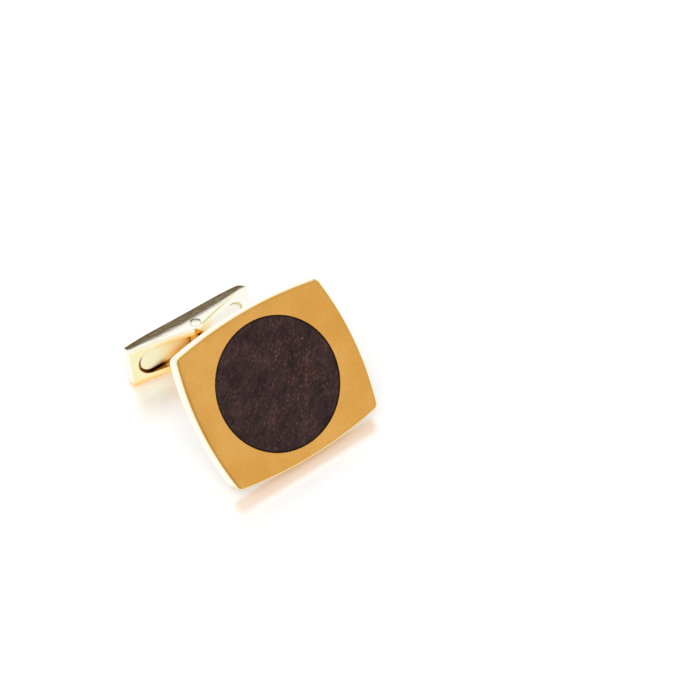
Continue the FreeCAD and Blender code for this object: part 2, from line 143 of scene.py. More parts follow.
def add_piece(bm, name, place, body, node, slot, *finishes):
    """Puts a mesh drawn in millimetres in its place, as the piece that stands for a CAD node."""
    bmesh.ops.remove_doubles(bm, verts=bm.verts, dist=CLOSE)
    bmesh.ops.recalc_face_normals(bm, faces=bm.faces)
    bmesh.ops.transform(bm, matrix=place, verts=bm.verts)
    bmesh.ops.scale(bm, vec=(MM, MM, MM), verts=bm.verts)
    mesh = bpy.data.meshes.new(name)
    bm.to_mesh(mesh)
    bm.free()
    mesh.shade_smooth()
    mesh.set_sharp_from_angle(angle=math.radians(SHARP_TURN))
    piece = bpy.data.objects.new(name, mesh)
    bpy.context.scene.collection.objects.link(piece)
    for finish in finishes:
        mesh.materials.append(finish)
    even = piece.modifiers.new("even_shading", "WEIGHTED_NORMAL")
    even.keep_sharp = True
    even.weight = 100
    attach(piece, body)
    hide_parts(node)
    return piece


def linear(code):
    """Scene-linear colour of an sRGB hex code."""
    parts = [int(code[place:place + 2], 16) / 255 for place in (1, 3, 5)]
    return [p / 12.92 if p <= 0.04045 else ((p + 0.055) / 1.055) ** 2.4 for p in parts] + [1.0]


def wire(tree, made, sockets):
    """Sets a node's sockets: each gets a value, or a link from an output or from another node's first one."""
    for name, value in dict(sockets).items():
        if isinstance(name, int):
            goal = made.inputs[name]
        else:
            goal = [item for item in made.inputs if item.enabled and item.name == name][0]
        if isinstance(value, bpy.types.Node):
            value = [item for item in value.outputs if item.enabled][0]
        if isinstance(value, bpy.types.NodeSocket):
            tree.links.new(value, goal)
        else:
            goal.default_value = value


def add_node(tree, kind, sockets=(), **settings):
    """One node with its settings and links."""
    made = tree.nodes.new(kind)
    for name, value in settings.items():
        setattr(made, name, value)
    wire(tree, made, sockets)
    return made


def new_finish(name, **values):
    """A material of the given name, with plain values on its shader's own sockets."""
    finish = bpy.data.materials.new(name)
    finish.use_nodes = True
    shader = finish.node_tree.nodes["Principled BSDF"]
    for socket, value in values.items():
        shader.inputs[socket.replace("_", " ")].default_value = value
    return finish, finish.node_tree, shader


def measured(tree, spot=Vector(), lean=0.0):
    """Object coordinates in millimetres, counted from a spot and leaning with a piece by some degrees."""
    spots = add_node(tree, "ShaderNodeTexCoord").outputs["Object"]
    return add_node(tree, "ShaderNodeMapping", {"Vector": spots, "Location": spot * MM, "Scale": (MM, MM, MM),
                                                "Rotation": (math.radians(lean), 0, 0)},
                    vector_type="TEXTURE")


def bright_gold(name, pale, rich, waviness=0.25):
    """Gold plating over bright brass: a mirror with a slight hand-made waviness and fine wear."""
    finish, tree, shader = new_finish(name, Metallic=1.0)
    spots = measured(tree)
    wave = add_node(tree, "ShaderNodeTexNoise", {"Vector": spots, "Scale": 1 / BUFF_WAVE, "Detail": 3.0})
    wear = add_node(tree, "ShaderNodeTexNoise", {"Vector": spots, "Scale": 1 / FINE_WEAR, "Detail": 4.0})
    tone = add_node(tree, "ShaderNodeMix", {"Factor": wave, "A": linear(rich), "B": linear(pale)},
                    data_type="RGBA")
    haze = add_node(tree, "ShaderNodeMapRange", {"Value": wear, "From Min": 0.35, "From Max": 0.7,
                                                 "To Min": 0.05, "To Max": 0.16})
    relief = add_node(tree, "ShaderNodeBump", {"Height": wave, "Strength": waviness, "Distance": 0.05 * MM})
    wire(tree, shader, {"Base Color": tone, "Roughness": haze, "Normal": relief})
    return finish


def recolour(finish, colour, *zones, spot=Vector(), lean=0.0):
    """Lays another colour over a finish in some zones.

    A zone lists fades, each (axis, start, end): the colour sets in at start and is whole from end on."""
    tree = finish.node_tree
    shader = tree.nodes["Principled BSDF"]
    place = add_node(tree, "ShaderNodeSeparateXYZ", {0: measured(tree, spot, lean)})
    shown = 0.0
    for zone in zones:
        share = 1.0
        for axis, start, end in zone:
            fade = add_node(tree, "ShaderNodeMapRange", {"Value": place.outputs[axis], "From Min": start,
                                                         "From Max": end})
            share = add_node(tree, "ShaderNodeMath", {0: share, 1: fade}, operation="MULTIPLY")
        shown = add_node(tree, "ShaderNodeMath", {0: shown, 1: share}, operation="MAXIMUM")
    tone = shader.inputs["Base Color"].links[0].from_node
    mixed = add_node(tree, "ShaderNodeMix", {"Factor": shown, "A": tone, "B": linear(colour)},
                     data_type="RGBA")
    wire(tree, shader, {"Base Color": mixed})


# Gold plating over a blasted surface: an even warm colour with a fine frosted grain and faint clouds.
# The real grit is near 0.05 mm, and is drawn coarser so that it shows. Painted shade darkens the front
# along its bevel, most of all on the left.
satin_gold, tree, shader = new_finish("blasted_satin_gold", Metallic=1.0)
spots = measured(tree)
grit = add_node(tree, "ShaderNodeTexNoise", {"Vector": spots, "Scale": 1 / GRIT, "Detail": 2.0})
clouds = add_node(tree, "ShaderNodeTexNoise", {"Vector": spots, "Scale": 1 / SATIN_CLOUD, "Detail": 3.0})
patchy = add_node(tree, "ShaderNodeMapRange", {"Value": clouds, "From Min": 0.35, "From Max": 0.65})
tone = add_node(tree, "ShaderNodeMix", {"Factor": patchy, "A": linear("#DBA14C"), "B": linear("#E4AE5C")},
                data_type="RGBA")
speck = add_node(tree, "ShaderNodeMapRange", {"Value": grit, "From Min": 0.3, "From Max": 0.7,
                                              "To Min": 0.92, "To Max": 1.08})
painted_edge_shade = add_node(tree, "ShaderNodeAttribute", attribute_name="painted_edge_shade").outputs["Fac"]
border = add_node(tree, "ShaderNodeMapRange", {"Value": painted_edge_shade, "To Min": 1.0, "To Max": 0.5})
speck = add_node(tree, "ShaderNodeMath", {0: speck, 1: border}, operation="MULTIPLY")
grain = add_node(tree, "ShaderNodeMix", {"Factor": 1.0, "A": tone, "B": speck},
                 data_type="RGBA", blend_type="MULTIPLY")
frost = add_node(tree, "ShaderNodeMapRange", {"Value": clouds, "To Min": 0.4, "To Max": 0.5})
relief = add_node(tree, "ShaderNodeBump", {"Height": grit, "Strength": 0.25, "Distance": 0.02 * MM})
wire(tree, shader, {"Base Color": grain, "Roughness": frost, "Normal": relief})

# The buffed bevel and sides. Painted highlight pales the left and top sides, and painted shade deepens the
# lower side.
BEHIND_BEVEL = ("Z", PLATE_THICKNESS - EDGE_BEVEL / 2, PLATE_THICKNESS - EDGE_BEVEL)
LEFT_SIDE_HIGHLIGHT = (("X", -8.6, -9.6), BEHIND_BEVEL)
TOP_SIDE_HIGHLIGHT = (("Y", 7.2, 8.2), BEHIND_BEVEL)
LOWER_SIDE_SHADE = (("Y", -7.0, -8.0), BEHIND_BEVEL)
polished_gold = bright_gold("polished_gold_plate", "#FFF3C4", "#FBE7A4")
recolour(polished_gold, "#FFFCF0", LEFT_SIDE_HIGHLIGHT, TOP_SIDE_HIGHLIGHT, spot=FACE_SPOT, lean=90 - FACE_LEAN)
recolour(polished_gold, "#D89A3C", LOWER_SIDE_SHADE, spot=FACE_SPOT, lean=90 - FACE_LEAN)

bm = bmesh.new()
edge = face_outline(bm, 0.0, 0.0)
rim = face_outline(bm, RIM_WALL, 0.0)
bridge(bm, edge, rim)
bmesh.ops.edgeloop_fill(bm, edges=raise_loop(bm, rim, BACK_DEPTH))
brow = raise_loop(bm, edge, PLATE_THICKNESS)
mouth = face_outline(bm, 0.0, PLATE_THICKNESS, INLAY_RADIUS + INLAY_GAP)
border = face_outline(bm, EDGE_BEVEL + BORDER, PLATE_THICKNESS)
bridge(bm, brow, border)
bridge(bm, border, mouth)
# Painted shade along the bevel: full on the left, less at the top, faint elsewhere.
painted_edge_shade = bm.verts.layers.float.new("painted_edge_shade")
for spot in corners(brow):
    spot[painted_edge_shade] = EDGE_SHADE_REST
    if spot.co.x < BORDER_LEFT:
        spot[painted_edge_shade] = EDGE_SHADE_LEFT
    elif spot.co.y > BORDER_TOP:
        spot[painted_edge_shade] = EDGE_SHADE_TOP
bmesh.ops.edgeloop_fill(bm, edges=raise_loop(bm, mouth, -RECESS_DEPTH))
round_off(bm, edge, BACK_EDGE_ROUND, 6)
round_off(bm, mouth, RECESS_LIP, 2)
round_off(bm, brow, EDGE_BEVEL, 1)
bmesh.ops.recalc_face_normals(bm, faces=bm.faces)
for side in bm.faces:
    middle = side.calc_center_median()
    front = side.normal.z > 1 - CLOSE and middle.z > PLATE_THICKNESS - RECESS_LIP
    recess = middle.xy.length < INLAY_RADIUS + INLAY_GAP + RECESS_LIP and middle.z > BACK_DEPTH
    side.material_index = 0 if front or recess else 1
plate = add_piece(bm, "face_front", on_face, "face", "face_plate", "satin_gold", satin_gold, polished_gold)
# The blasted faces are flat right up to the bevel, so their shading is flat too.
for side in plate.data.polygons:
    side.use_smooth = side.material_index > 0

# Back plate: a flat sheet of bright gilt brass soldered into the back of the face, flush with its rim.
# It closes the pressed face and carries the post.
PLATE_SEAM = 0.03
SHEET_EDGE = 0.05

bm = bmesh.new()
edge = face_outline(bm, RIM_WALL + PLATE_SEAM, 0.0)
bmesh.ops.edgeloop_fill(bm, edges=edge)
top = raise_loop(bm, edge, BACK_DEPTH)
bmesh.ops.edgeloop_fill(bm, edges=top)
round_off(bm, edge, SHEET_EDGE, 2)
back_gold = bright_gold("bright_gold_back", "#FFF0C0", "#F8E0A0")
add_piece(bm, "back_sheet", on_face, "face", "back_plate", "polished_gold", back_gold)

# Post: a flat gilt bar, bent once, that carries the toggle behind the face.
# It is brazed to the back plate by a round foot and ends in a squared eye on the toggle's pin.
# Its plating is drawn in a deeper gold, as painted shade for its place behind the face.
PIN_SPOT = Vector((0.0, 9.367, 2.73))
POST_THICKNESS, POST_WIDTH = 1.4, 3.1
POST_EDGE = 0.5
POST_ROOT, POST_REACH = 2.4, 8.5
BEND_RADIUS = 8.0
BEND_STEPS = 16
EYE_CORNER = 0.45
EYE_RADIUS, EYE_BORE = 0.405, 2.0
FOOT_RADIUS, FOOT_THICKNESS, FOOT_RIM = 2.5, 0.5, 0.15
BRAZE_FILLET = 0.4
TURN_STEPS = 48
on_pin = Matrix.Translation(PIN_SPOT) @ Matrix.Rotation(math.radians(90), 4, "X")
upright = Matrix.Translation(PIN_SPOT)


def rounded_bar(bm, width, height, bend, level, steps):
    """Rectangle with rounded corners. Steps count for a corner, an upright side and a level one."""
    x, y = width / 2 - bend, height / 2 - bend
    at_corner, at_upright, at_level = steps
    runs = [((x + bend, y), None, at_upright), ((x, y), 90, at_corner),
            ((-x, y + bend), None, at_level), ((-x, y), 90, at_corner),
            ((-x - bend, -y), None, at_upright), ((-x, -y), 90, at_corner),
            ((x, -y - bend), None, at_level), ((x, -y), 90, at_corner)]
    return trace(bm, (x + bend, -y, level), runs)


def turned(bm, profile):
    """A shape turned about the Z axis: profile lists (radius, height) from one end to the other."""
    verts = [bm.verts.new((radius, 0, height)) for radius, height in profile]
    lines = [bm.edges.new(pair) for pair in zip(verts, verts[1:])]
    bmesh.ops.spin(bm, geom=verts + lines, cent=(0, 0, 0), axis=(0, 0, 1), angle=math.tau,
                   steps=TURN_STEPS, use_merge=True)
    bmesh.ops.remove_doubles(bm, verts=bm.verts, dist=TINY)


def cut_away(piece, profile, place):
    """Bores a turned shape out of a piece in its place. The modifier that evens its shading stays live."""
    bm = bmesh.new()
    turned(bm, profile)
    bmesh.ops.recalc_face_normals(bm, faces=bm.faces)
    bmesh.ops.transform(bm, matrix=place, verts=bm.verts)
    bmesh.ops.scale(bm, vec=(MM, MM, MM), verts=bm.verts)
    mesh = bpy.data.meshes.new("bore")
    bm.to_mesh(mesh)
    bm.free()
    bore = bpy.data.objects.new("bore", mesh)
    bpy.context.scene.collection.objects.link(bore)
    trim = piece.modifiers.new("bore", "BOOLEAN")
    trim.operation = "DIFFERENCE"
    trim.solver = "EXACT"
    trim.object = bore
    piece.modifiers.move(len(piece.modifiers) - 1, 0)
    shading = piece.modifiers[1]
    shading.show_viewport = False
    bpy.context.view_layer.update()
    bored = bpy.data.meshes.new_from_object(piece.evaluated_get(bpy.context.evaluated_depsgraph_get()))
    piece.modifiers.remove(trim)
    shading.show_viewport = True
    piece.data = bored
    bpy.data.objects.remove(bore)
    piece.data.shade_smooth()
    piece.data.set_sharp_from_angle(angle=math.radians(SHARP_TURN))


bm = bmesh.new()
eye = rounded_bar(bm, POST_THICKNESS, POST_WIDTH, POST_EDGE, -POST_THICKNESS / 2, (6, 6, 2))
bmesh.ops.edgeloop_fill(bm, edges=eye)
bar = raise_loop(bm, eye, POST_THICKNESS / 2 + POST_REACH)
swept = bmesh.ops.spin(bm, geom=bar + corners(bar), axis=(-1, 0, 0), cent=(0, BEND_RADIUS, POST_REACH),
                       angle=math.radians(FACE_LEAN), steps=BEND_STEPS)
bar = [item for item in swept["geom_last"] if isinstance(item, bmesh.types.BMEdge)]
root_way = Vector((0, math.sin(math.radians(FACE_LEAN)), math.cos(math.radians(FACE_LEAN))))
root = raise_loop(bm, bar, 0.0)
root_spots = corners(root)
bmesh.ops.translate(bm, verts=root_spots, vec=root_way * (POST_ROOT - FOOT_THICKNESS))
root_middle = sum((spot.co for spot in root_spots), Vector()) / len(root_spots)
foot_place = Matrix.Translation(root_middle) @ Matrix.Rotation(-math.radians(FACE_LEAN), 4, "X")
foot = bmesh.ops.create_circle(bm, segments=len(root), radius=FOOT_RADIUS, matrix=foot_place)["verts"]
foot = list({line for spot in foot for line in spot.link_edges})
bridge(bm, foot, root, -root_way)
sole = raise_loop(bm, foot, 0.0)
bmesh.ops.translate(bm, verts=corners(sole), vec=root_way * FOOT_THICKNESS)
bmesh.ops.edgeloop_fill(bm, edges=sole)
round_off(bm, root, BRAZE_FILLET, 5)
round_off(bm, foot, FOOT_RIM, 3)
round_off(bm, eye, EYE_CORNER, 5)
shaded_gold = bright_gold("painted_shade_gold_plate", "#F0C878", "#DCA64E")
post = add_piece(bm, "toggle_post", on_pin, "face", "bent_post", "polished_gold", shaded_gold)
cut_away(post, ((0, -EYE_BORE), (EYE_RADIUS, -EYE_BORE), (EYE_RADIUS, EYE_BORE), (0, EYE_BORE)), upright)

# Adhesive: the clear yellowish film that holds the wood on the floor of its recess, out of sight.
# It was spread by hand and cured under the disc, which leaves it a little blotchy.
ADHESIVE_BLOT = 1.5
clear_adhesive, tree, shader = new_finish("cured_clear_adhesive", Roughness=0.3, IOR=1.5)
blots = add_node(tree, "ShaderNodeTexNoise", {"Vector": measured(tree), "Scale": 1 / ADHESIVE_BLOT,
                                              "Detail": 2.0})
tone = add_node(tree, "ShaderNodeMix", {"Factor": blots, "A": linear("#CDBE8C"), "B": linear("#DDD2AE")},
                data_type="RGBA")
wire(tree, shader, {"Base Color": tone})
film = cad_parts["inlay_adhesive"]
film.data.materials.clear()
film.data.materials.append(clear_adhesive)

# Wood inlay: a turned disc of very dark open-pored wood, sanded and oiled, glued into the face.
# Its top lies a hair below the metal, and its rim is eased and darkened with painted shade, so that a thin
# dark line shows round it.
INLAY_DROP = 0.05
INLAY_THICKNESS = 0.8
INLAY_EASE, INLAY_SHADE = 0.1, 0.25
DISC_STEPS = 128
GRAIN_TURN = 40.0
FIBRE, FIBRE_STRETCH = 0.3, 5.0
PORE, PORE_STRETCH = 0.22, 2.2
PORE_SHIFT, SHIFT_SPACING = 0.2, 0.25
WOOD_CLOUD = 2.0
FILLER_SPACING, FILLER_DOT, FILLER_RARITY = 1.6, 0.05, 0.9
AMBER_SPOT, AMBER_REACH, AMBER_TURN = (3.2, 0.5, 0.0), (5.0, 2.2, 9.0), -66.0

# Oiled dark wood: near black with a brown bloom, short pale pores along the grain, amber in one patch,
# and a few pale grains of filler. The oil leaves a low, uneven gloss.
dark_wood, tree, shader = new_finish("oiled_dark_wood", IOR=1.5, Specular_IOR_Level=0.15)
flat = measured(tree, FACE_SPOT, 90 - FACE_LEAN)
grain_way = (0, 0, math.radians(GRAIN_TURN))
along = add_node(tree, "ShaderNodeMapping", {"Vector": flat, "Scale": (FIBRE_STRETCH, 1.0, 1.0),
                                             "Rotation": grain_way}, vector_type="TEXTURE")
fibres = add_node(tree, "ShaderNodeTexNoise", {"Vector": along, "Scale": 1 / FIBRE, "Detail": 4.0,
                                               "Roughness": 0.7})
base = add_node(tree, "ShaderNodeValToRGB", {"Fac": fibres})
dark, bloom = base.color_ramp.elements
dark.position, dark.color = 0.32, linear("#1C1212")
bloom.position, bloom.color = 0.68, linear("#382423")
jitter = add_node(tree, "ShaderNodeTexNoise", {"Vector": flat, "Scale": 1 / SHIFT_SPACING, "Detail": 2.0})
moved = add_node(tree, "ShaderNodeVectorMath", {0: jitter.outputs["Color"], 1: (PORE_SHIFT,) * 3, 2: flat},
                 operation="MULTIPLY_ADD")
short = add_node(tree, "ShaderNodeMapping", {"Vector": moved, "Scale": (PORE_STRETCH, 1.0, 1.0),
                                             "Rotation": grain_way}, vector_type="TEXTURE")
pores = add_node(tree, "ShaderNodeTexVoronoi", {"Vector": short, "Scale": 1 / PORE})
fleck = add_node(tree, "ShaderNodeMapRange", {"Value": pores.outputs["Distance"], "From Min": 0.5,
                                              "From Max": 0.1})
chance = add_node(tree, "ShaderNodeSeparateColor", {"Color": pores.outputs["Color"]})
share = add_node(tree, "ShaderNodeMath", {0: fleck, 1: chance.outputs["Red"]}, operation="MULTIPLY")
amber = add_node(tree, "ShaderNodeMapping", {"Vector": flat, "Location": AMBER_SPOT, "Scale": AMBER_REACH,
                                             "Rotation": (0, 0, math.radians(AMBER_TURN))},
                 vector_type="TEXTURE")
inside = add_node(tree, "ShaderNodeVectorMath", {0: amber}, operation="LENGTH")
warm = add_node(tree, "ShaderNodeMapRange", {"Value": inside.outputs["Value"], "From Min": 1.0,
                                             "From Max": 0.2})
light = add_node(tree, "ShaderNodeMix", {"Factor": warm, "A": linear("#573B38"), "B": linear("#784434")},
                 data_type="RGBA")
flecked = add_node(tree, "ShaderNodeMix", {"Factor": share, "A": base, "B": light}, data_type="RGBA")
clouds = add_node(tree, "ShaderNodeTexNoise", {"Vector": flat, "Scale": 1 / WOOD_CLOUD, "Detail": 3.0})
cloud = add_node(tree, "ShaderNodeMapRange", {"Value": clouds, "From Min": 0.3, "From Max": 0.7,
                                              "To Min": 0.55, "To Max": 1.4})
middle = add_node(tree, "ShaderNodeVectorMath", {0: flat, 1: (1.0, 1.0, 0.0)}, operation="MULTIPLY")
radius = add_node(tree, "ShaderNodeVectorMath", {0: middle}, operation="LENGTH")
# Painted shade darkens the wood towards its rim.
rim = add_node(tree, "ShaderNodeMapRange", {"Value": radius.outputs["Value"],
                                            "From Min": INLAY_RADIUS - INLAY_SHADE,
                                            "From Max": INLAY_RADIUS - INLAY_EASE,
                                            "To Min": 1.0, "To Max": 0.5})
shaded = add_node(tree, "ShaderNodeMath", {0: cloud, 1: rim}, operation="MULTIPLY")
wood = add_node(tree, "ShaderNodeMix", {"Factor": 1.0, "A": flecked, "B": shaded},
                data_type="RGBA", blend_type="MULTIPLY")
grains = add_node(tree, "ShaderNodeTexVoronoi", {"Vector": flat, "Scale": 1 / FILLER_SPACING})
dot = add_node(tree, "ShaderNodeMath", {0: grains.outputs["Distance"], 1: FILLER_DOT},
               operation="LESS_THAN")
rare = add_node(tree, "ShaderNodeSeparateColor", {"Color": grains.outputs["Color"]})
pick = add_node(tree, "ShaderNodeMath", {0: rare.outputs["Red"], 1: FILLER_RARITY},
                operation="GREATER_THAN")
filler = add_node(tree, "ShaderNodeMath", {0: dot, 1: pick}, operation="MULTIPLY")
filled = add_node(tree, "ShaderNodeMix", {"Factor": filler, "A": wood, "B": linear("#B8B0AC")},
                  data_type="RGBA")
gloss = add_node(tree, "ShaderNodeMapRange", {"Value": fibres, "To Min": 0.4, "To Max": 0.7})
relief = add_node(tree, "ShaderNodeBump", {"Height": share, "Strength": 0.4, "Distance": 0.05 * MM})
wire(tree, shader, {"Base Color": filled, "Roughness": gloss, "Normal": relief})

bm = bmesh.new()
bottom = Matrix.Translation((0, 0, PLATE_THICKNESS - INLAY_DROP - INLAY_THICKNESS))
disc = bmesh.ops.create_circle(bm, segments=DISC_STEPS, radius=INLAY_RADIUS, cap_ends=True, matrix=bottom)
ring = list({line for spot in disc["verts"] for line in spot.link_edges})
top = raise_loop(bm, ring, INLAY_THICKNESS)
bmesh.ops.edgeloop_fill(bm, edges=top)
round_off(bm, top, INLAY_EASE, 3)
add_piece(bm, "wood_disc", on_face, "face", "wood_inlay", "dark_wood", dark_wood)

# Toggle bar: a boat-shaped bar of gilt brass with a straight back and a crest over its pin.
# A long round-ended slot is milled into its inner side, and most of its edges are softened by buffing.
# A stepped hole from side to side takes the riveted pin.
BAR_LENGTH, BAR_HEIGHT = 16.2, 5.46
BAR_BACK, BAR_END, BAR_CREST = 2.2, 0.8, 0.9
CREST_ROUND, FLANK_SAG = 1.6, 0.22
RIGHT_RELIEF = 0.25
BAR_CORNER = 0.3
BAR_EDGE = 0.12
BACK_ROUND = 0.05
CROWN_DEPTH, CROWN_TAPER, CROWN_END = 1.78, 0.4, 0.6
CROWN_SLOPE, CROWN_BLEND = 0.17, 0.5
CROWN_CUTS = 10
BACK_BOW, BOW_START = 0.3, 3.8
BOW_CUTS = 16
END_EASE, EASE_START = 0.4, 6.9
EASE_CUTS = 5
TOGGLE_TURN, BAR_SHIFT = -1.2, -0.35
SLOT_LENGTH, SLOT_HEIGHT = 14.1, 3.5
SLOT_LIP = 0.1
SPRING_SEAT = 1.0936
HEAD_RADIUS, HEAD_DEPTH = 0.575, 0.25
SHANK_RADIUS = 0.375
HOLE_GAP, HOLE_PAST = 0.05, 1.0
on_toggle = (Matrix.Translation(PIN_SPOT) @ Matrix.Rotation(math.radians(TOGGLE_TURN), 4, "Z")
             @ Matrix.Translation((BAR_SHIFT, 0, 0)) @ Matrix.Rotation(math.radians(90), 4, "X"))


def flank(x):
    """How far the inner side lies behind the pin: two hollow flanks that meet in a rounded crest.

    The right one falls back a little more, so that the post lies clear of it."""
    half = BAR_LENGTH / 2
    slope = (BAR_END + BAR_CREST + 4 * FLANK_SAG) / half
    meet = CREST_ROUND * slope / math.hypot(1, slope)
    share = max(abs(x), meet) / half
    straight = -BAR_CREST + (BAR_END + BAR_CREST) * share + 4 * FLANK_SAG * share * (1 - share)
    relief = RIGHT_RELIEF * share ** 2 * (3 - 2 * share) if x > -meet else 0
    within = min(abs(x), meet)
    crest = math.sqrt(CREST_ROUND ** 2 - meet ** 2) - math.sqrt(CREST_ROUND ** 2 - within ** 2)
    return straight + relief + crest


def crown(inside):
    """How far the bar's sides fall away this far inside the eased border along their back and ends."""
    if inside > CROWN_BLEND:
        return CROWN_SLOPE * (inside - CROWN_BLEND / 2)
    return CROWN_SLOPE * max(inside, 0) ** 2 / (2 * CROWN_BLEND)


def bow(x):
    """How far the bar's straight back comes forward towards its ends, most at the right one."""
    half = BAR_LENGTH / 2
    eased = END_EASE * (max(x - EASE_START, 0) / (half - EASE_START)) ** 2
    return BACK_BOW * (max(abs(x) - BOW_START, 0) / (half - BOW_START)) ** 2 + eased


def stadium(bm, length, height, level, steps):
    """Slot shape along X with full round ends. Steps count for a round end and a straight side."""
    half, reach = height / 2, (length - height) / 2
    at_end, at_side = steps
    runs = [((reach, 0), 180, at_end), ((-reach, half), None, at_side),
            ((-reach, 0), 180, at_end), ((reach, -half), None, at_side)]
    return trace(bm, (reach, -half, level), runs)


def rivet(wide, narrow, end, neck):
    """Profile of a rivet with two heads, or of the stepped hole that takes it."""
    half = [(narrow, neck), (wide, neck), (wide, end), (0, end)]
    return [(radius, -height) for radius, height in reversed(half)] + half


# Painted highlight pales the bar's top, its left tip and its right flank.
# The buffing wheel leaves streaks along the bar, drawn coarse so that they show.
# Painted shade and reflection deepen the plating near the post and the table, and the brim on the right is
# drawn olive-yellow. The walls of the milled slot carry painted shade, darkest towards their left end.
STREAK, STREAK_STRETCH = 0.2, 8.0
BAR_TOP_HIGHLIGHT = (("Z", 5.0, 5.35),)
BAR_TIP_HIGHLIGHT = (("X", -8.2, -8.4),)
RIGHT_HALF = (("X", 1.0, 3.0),)
RIGHT_FLANK_HIGHLIGHT = (*RIGHT_HALF, ("Y", PIN_SPOT.y + 1.5, PIN_SPOT.y + 1.0))
RIGHT_END = (("X", 3.0, 6.0),)
BY_POST_SHADE = (("X", -5.6, -3.4), ("X", 2.0, 0.0), ("Y", PIN_SPOT.y + 1.0, PIN_SPOT.y + 0.5), ("Z", 5.3, 4.6))
BY_TABLE_SHADE = (("Z", 0.9, 0.1),)
SLOT_SHADE_END = (("X", -4.3, -3.5),)
toggle_gold = bright_gold("polished_gold_toggle", "#FFF7CE", "#FAECAC", 0.4)
# Painted highlight on the top, the left tip and the right flank.
recolour(toggle_gold, "#FFFCF0", BAR_TOP_HIGHLIGHT, RIGHT_FLANK_HIGHLIGHT, BAR_TIP_HIGHLIGHT)
# Painted shade and reflection near the post and the table.
recolour(toggle_gold, "#FFC868", BY_POST_SHADE, BY_TABLE_SHADE)
tree = toggle_gold.node_tree
shader = tree.nodes["Principled BSDF"]
strokes = add_node(tree, "ShaderNodeMapping", {"Vector": measured(tree), "Scale": (STREAK_STRETCH, 1.0, 1.0)},
                   vector_type="TEXTURE")
streaks = add_node(tree, "ShaderNodeTexNoise", {"Vector": strokes, "Scale": 1 / STREAK, "Detail": 3.0})
waves = shader.inputs["Normal"].links[0].from_node
streaked = add_node(tree, "ShaderNodeBump", {"Height": streaks, "Strength": 0.3, "Distance": 0.05 * MM,
                                             "Normal": waves})
wire(tree, shader, {"Normal": streaked})
# Painted shade on the slot walls, lifted towards the post and on the right half.
slot_shade_gold = bright_gold("painted_shade_in_milled_slot", "#B07A34", "#7C4C1A")
recolour(slot_shade_gold, "#FFE2A4", SLOT_SHADE_END)
recolour(slot_shade_gold, "#E6D8A2", RIGHT_HALF)
# The brim on the right is drawn olive-yellow, paler towards the right end.
olive_brim_gold = bright_gold("olive_gold_brim", "#E4DE98", "#D2CA7C")
recolour(olive_brim_gold, "#FFFADC", RIGHT_END)

bm = bmesh.new()
brim = rounded_bar(bm, BAR_LENGTH, BAR_HEIGHT, BAR_CORNER, 0.0, (4, 16, 80))
slot = stadium(bm, SLOT_LENGTH, SLOT_HEIGHT, 0.0, (24, 80))
bridge(bm, brim, slot)
for spot in bm.verts:
    spot.co.z = -flank(spot.co.x)
for outline, depth in ((slot, SPRING_SEAT), (brim, BAR_BACK)):
    bottom = raise_loop(bm, outline, 0.0)
    for spot in corners(bottom):
        spot.co.z = -depth
    bmesh.ops.edgeloop_fill(bm, edges=bottom)
round_off(bm, brim, BAR_EDGE, 3)
round_off(bm, slot, SLOT_LIP, 3)
# Cuts along and across the bar give the rows of points that its crowned sides and bowed back are bent by.
for cut in range(1, CROWN_CUTS + 1):
    level = CROWN_DEPTH * cut / CROWN_CUTS - BAR_BACK
    bmesh.ops.bisect_plane(bm, geom=list(bm.verts) + list(bm.edges) + list(bm.faces), dist=TINY,
                           plane_co=(0, 0, level), plane_no=(0, 0, 1))
reach = BAR_LENGTH / 2 - BAR_CORNER
columns = [reach * (2 * cut / BOW_CUTS - 1) for cut in range(1, BOW_CUTS)]
columns += [EASE_START + (reach - EASE_START) * cut / EASE_CUTS for cut in range(EASE_CUTS + 1)]
for column in columns:
    bmesh.ops.bisect_plane(bm, geom=list(bm.verts) + list(bm.edges) + list(bm.faces), dist=CLOSE / 10,
                           plane_co=(column, 0, 0), plane_no=(1, 0, 0))
back_edges = [line for line in bm.edges if all(abs(spot.co.z + BAR_BACK) < TINY for spot in line.verts)
              and any(abs(side.normal.z) < 0.5 for side in line.link_faces)]
for spot in bm.verts:
    depth = spot.co.z + BAR_BACK
    share = 1 - depth / (BAR_BACK - flank(spot.co.x))
    outside = (abs(spot.co.y) > BAR_HEIGHT / 2 - BAR_CORNER
               or abs(spot.co.x) > BAR_LENGTH / 2 - BAR_CORNER
               or depth < TINY)
    reach = CROWN_DEPTH * (1 - CROWN_TAPER * (2 * spot.co.x / BAR_LENGTH) ** 2)
    drop = crown(reach - depth) + crown(CROWN_END - (BAR_LENGTH / 2 - spot.co.x))
    spot.co.y *= 1 - drop / (BAR_HEIGHT / 2)
    spot.co.z += bow(spot.co.x) * share * outside
round_off(bm, back_edges, BACK_ROUND, 5)
for side in bm.faces:
    middle = side.calc_center_median()
    below = -middle.z - flank(middle.x)
    in_slot = abs(middle.x) < SLOT_LENGTH / 2 and abs(middle.y) < (SLOT_HEIGHT + SLOT_LIP) / 2
    on_wall = below > SLOT_LIP / 2 and -middle.z < SPRING_SEAT + SLOT_LIP
    on_brim = middle.x > CREST_ROUND / 2 and middle.y > BAR_HEIGHT / 2 - BAR_EDGE and below < BAR_EDGE
    side.material_index = 2 if on_brim else 1 if in_slot and on_wall else 0
bar = add_piece(bm, "swivel_bar", on_toggle, "toggle", "toggle_bar", "polished_gold",
                toggle_gold, slot_shade_gold, olive_brim_gold)
hole = rivet(HEAD_RADIUS + HOLE_GAP, SHANK_RADIUS + HOLE_GAP, BAR_HEIGHT / 2 + HOLE_PAST,
             BAR_HEIGHT / 2 - HEAD_DEPTH - HOLE_GAP)
cut_away(bar, hole, upright)

